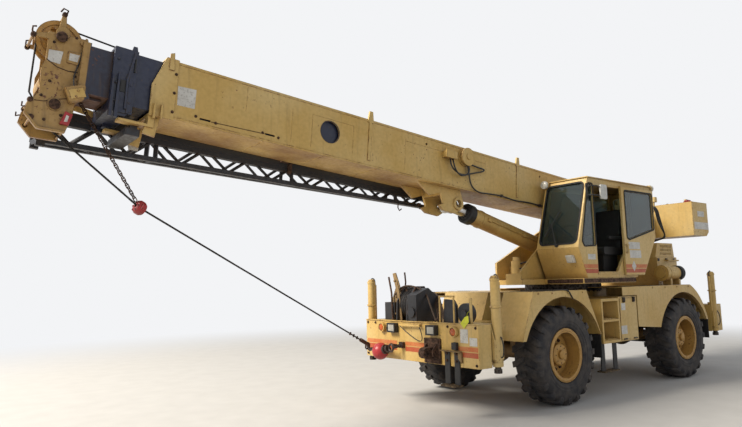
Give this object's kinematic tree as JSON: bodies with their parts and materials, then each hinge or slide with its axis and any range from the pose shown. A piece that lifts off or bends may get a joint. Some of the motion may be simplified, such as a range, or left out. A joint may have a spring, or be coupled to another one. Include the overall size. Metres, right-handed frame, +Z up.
{
  "type": "rough-terrain mobile crane",
  "caption": "Two-axle rough-terrain mobile crane with four-wheel steering, outriggers, slewing cab and a telescopic boom with a stowed lattice jib",
  "frame": {"origin": "middle of the whole machine's length and width, on the ground under the tyres", "axes": "+X forward along the resting boom, +Y to the cab's side, +Z up"},
  "size_m": [11.4687, 2.453, 4.2909],
  "materials": {
    "body_paint": "faded construction yellow enamel",
    "section_paint": "blue-black enamel",
    "head_paint": "weathered yellow enamel with rust",
    "jib_paint": "black enamel",
    "tyre_rubber": "dusty black rubber",
    "axle_paint": "dull yellow-brown enamel under dust",
    "bearing_steel": "greased steel",
    "chromed_rod": "polished hard chrome",
    "engine_paint": "painted cast iron",
    "step_steel": "worn steel tread with rubber straps",
    "lamp_glass": "lamp lens",
    "worn_steel": "rusty cast steel",
    "block_paint": "black enamel, worn",
    "ball_paint": "red enamel",
    "window_glass": "green-tinted safety glass",
    "cab_trim": "black vinyl and plastic"
  },
  "bodies": {
    "carrier": {"chassis_frame": "body_paint", "slew_ring": "bearing_steel", "front_outrigger_box": "body_paint", "rear_outrigger_box": "body_paint", "front_fenders": "body_paint", "rear_fenders": "body_paint", "carrier_decks": "body_paint", "engine_hood": "body_paint", "engine_block": "engine_paint", "air_cleaner": "body_paint", "left_step_boxes": "body_paint", "right_tanks": "body_paint", "hanging_steps": "step_steel", "driveline": "axle_paint", "front_lamps": "lamp_glass", "rear_lamps": "lamp_glass", "tow_pintle": "worn_steel", "hook_block": "block_paint", "hook_ball": "ball_paint", "grab_rails": "body_paint", "front_axle": "axle_paint", "rear_axle": "axle_paint"},
    "superstructure": {"turret_frame": "body_paint", "counterweight": "body_paint", "machinery_cover": "body_paint", "cab_shell": "body_paint", "cab_glass": "window_glass", "cab_interior": "cab_trim"},
    "cab_door": {"cab_door": "body_paint", "door_glass": "window_glass"},
    "hoist_drum": {"hoist_drum": "worn_steel"},
    "boom_base": {"boom_base": "body_paint", "jib_lattice": "jib_paint", "cable_reel": "body_paint"},
    "boom_mid": {"boom_mid": "section_paint"},
    "boom_fly": {"boom_fly": "head_paint"},
    "top_sheaves": {"top_sheaves": "worn_steel"},
    "low_sheaves": {"low_sheaves": "worn_steel"},
    "lift_barrel": {"lift_barrel": "body_paint"},
    "lift_rod": {"lift_rod": "chromed_rod"},
    "front_left_knuckle": {"front_left_knuckle": "axle_paint"},
    "front_left_wheel": {"front_left_rim": "body_paint", "front_left_tyre": "tyre_rubber"},
    "front_left_beam": {"front_left_beam": "body_paint"},
    "front_left_jack_rod": {"front_left_jack_rod": "chromed_rod"},
    "front_right_knuckle": {"front_right_knuckle": "axle_paint"},
    "front_right_wheel": {"front_right_rim": "body_paint", "front_right_tyre": "tyre_rubber"},
    "front_right_beam": {"front_right_beam": "body_paint"},
    "front_right_jack_rod": {"front_right_jack_rod": "chromed_rod"},
    "rear_left_knuckle": {"rear_left_knuckle": "axle_paint"},
    "rear_left_wheel": {"rear_left_rim": "body_paint", "rear_left_tyre": "tyre_rubber"},
    "rear_left_beam": {"rear_left_beam": "body_paint"},
    "rear_left_jack_rod": {"rear_left_jack_rod": "chromed_rod"},
    "rear_right_knuckle": {"rear_right_knuckle": "axle_paint"},
    "rear_right_wheel": {"rear_right_rim": "body_paint", "rear_right_tyre": "tyre_rubber"},
    "rear_right_beam": {"rear_right_beam": "body_paint"},
    "rear_right_jack_rod": {"rear_right_jack_rod": "chromed_rod"}
  },
  "joints": [
    {"name": "front_left_steer", "type": "hinge", "parent": "carrier", "child": "front_left_knuckle", "pos_m": [-0.71716, 0.77, 0.665], "axis": [0, 0, 1], "range_deg": [-30, 30]},
    {"name": "front_left_roll", "type": "hinge", "parent": "front_left_knuckle", "child": "front_left_wheel", "pos_m": [-0.71716, 0.9975, 0.665], "axis": [0, 1, 0], "continuous": true},
    {"name": "front_left_beam_slide", "type": "slide", "parent": "carrier", "child": "front_left_beam", "axis": [0, 1, 0], "range_m": [0, 1.4]},
    {"name": "front_left_jack_slide", "type": "slide", "parent": "front_left_beam", "child": "front_left_jack_rod", "axis": [0, 0, -1], "range_m": [0, 0.7]},
    {"name": "front_right_steer", "type": "hinge", "parent": "carrier", "child": "front_right_knuckle", "pos_m": [-0.71716, -0.77, 0.665], "axis": [0, 0, 1], "range_deg": [-30, 30]},
    {"name": "front_right_roll", "type": "hinge", "parent": "front_right_knuckle", "child": "front_right_wheel", "pos_m": [-0.71716, -0.9975, 0.665], "axis": [0, 1, 0], "continuous": true},
    {"name": "front_right_beam_slide", "type": "slide", "parent": "carrier", "child": "front_right_beam", "axis": [0, -1, 0], "range_m": [0, 1.4]},
    {"name": "front_right_jack_slide", "type": "slide", "parent": "front_right_beam", "child": "front_right_jack_rod", "axis": [0, 0, -1], "range_m": [0, 0.7]},
    {"name": "rear_left_steer", "type": "hinge", "parent": "carrier", "child": "rear_left_knuckle", "pos_m": [-4.11716, 0.77, 0.665], "axis": [0, 0, 1], "range_deg": [-30, 30]},
    {"name": "rear_left_roll", "type": "hinge", "parent": "rear_left_knuckle", "child": "rear_left_wheel", "pos_m": [-4.11716, 0.9975, 0.665], "axis": [0, 1, 0], "continuous": true},
    {"name": "rear_left_beam_slide", "type": "slide", "parent": "carrier", "child": "rear_left_beam", "axis": [0, 1, 0], "range_m": [0, 1.4]},
    {"name": "rear_left_jack_slide", "type": "slide", "parent": "rear_left_beam", "child": "rear_left_jack_rod", "axis": [0, 0, -1], "range_m": [0, 0.7]},
    {"name": "rear_right_steer", "type": "hinge", "parent": "carrier", "child": "rear_right_knuckle", "pos_m": [-4.11716, -0.77, 0.665], "axis": [0, 0, 1], "range_deg": [-30, 30]},
    {"name": "rear_right_roll", "type": "hinge", "parent": "rear_right_knuckle", "child": "rear_right_wheel", "pos_m": [-4.11716, -0.9975, 0.665], "axis": [0, 1, 0], "continuous": true},
    {"name": "rear_right_beam_slide", "type": "slide", "parent": "carrier", "child": "rear_right_beam", "axis": [0, -1, 0], "range_m": [0, 1.4]},
    {"name": "rear_right_jack_slide", "type": "slide", "parent": "rear_right_beam", "child": "rear_right_jack_rod", "axis": [0, 0, -1], "range_m": [0, 0.7]},
    {"name": "slew", "type": "hinge", "parent": "carrier", "child": "superstructure", "pos_m": [-2.41716, 0, 1.62], "axis": [0, 0, 1], "continuous": true},
    {"name": "cab_door_slide", "type": "slide", "parent": "superstructure", "child": "cab_door", "axis": [1, 0, 0], "range_m": [0, 0.695]},
    {"name": "hoist_turn", "type": "hinge", "parent": "superstructure", "child": "hoist_drum", "pos_m": [-4.47716, 0, 2.74], "axis": [0, 1, 0], "continuous": true},
    {"name": "boom_luff", "type": "hinge", "parent": "superstructure", "child": "boom_base", "pos_m": [-3.56716, 0, 2.8], "axis": [0, -1, 0], "range_deg": [-2.4, 70.6]},
    {"name": "boom_mid_slide", "type": "slide", "parent": "boom_base", "child": "boom_mid", "axis": [0.9956, 0, 0.0941], "range_m": [0, 6.4]},
    {"name": "boom_fly_slide", "type": "slide", "parent": "boom_mid", "child": "boom_fly", "axis": [0.9956, 0, 0.0941], "range_m": [0, 6.4]},
    {"name": "top_sheaves_turn", "type": "hinge", "parent": "boom_fly", "child": "top_sheaves", "pos_m": [5.41176, 0, 4.04251], "axis": [0, 1, 0], "continuous": true},
    {"name": "low_sheaves_turn", "type": "hinge", "parent": "boom_fly", "child": "low_sheaves", "pos_m": [5.4524, 0, 3.38943], "axis": [0, 1, 0], "continuous": true},
    {"name": "lift_barrel_swing", "type": "hinge", "parent": "superstructure", "child": "lift_barrel", "pos_m": [-2.41716, 0, 2.089], "axis": [0, -1, 0], "range_deg": [-3, 74.1]},
    {"name": "lift_rod_slide", "type": "slide", "parent": "lift_barrel", "child": "lift_rod", "axis": [0.9664, 0, 0.2572], "range_m": [-0.0628, 1.5627]}
  ],
  "couplings": [
    {"joint": "front_right_steer", "follows": "front_left_steer", "ratio": 1},
    {"joint": "rear_right_steer", "follows": "rear_left_steer", "ratio": 1},
    {"joint": "boom_fly_slide", "follows": "boom_mid_slide", "ratio": 1},
    {"joint": "lift_barrel_swing", "follows": "boom_luff", "ratio": 1.0414},
    {"joint": "lift_rod_slide", "follows": "boom_luff", "m_per_rad": 1.2601}
  ]
}
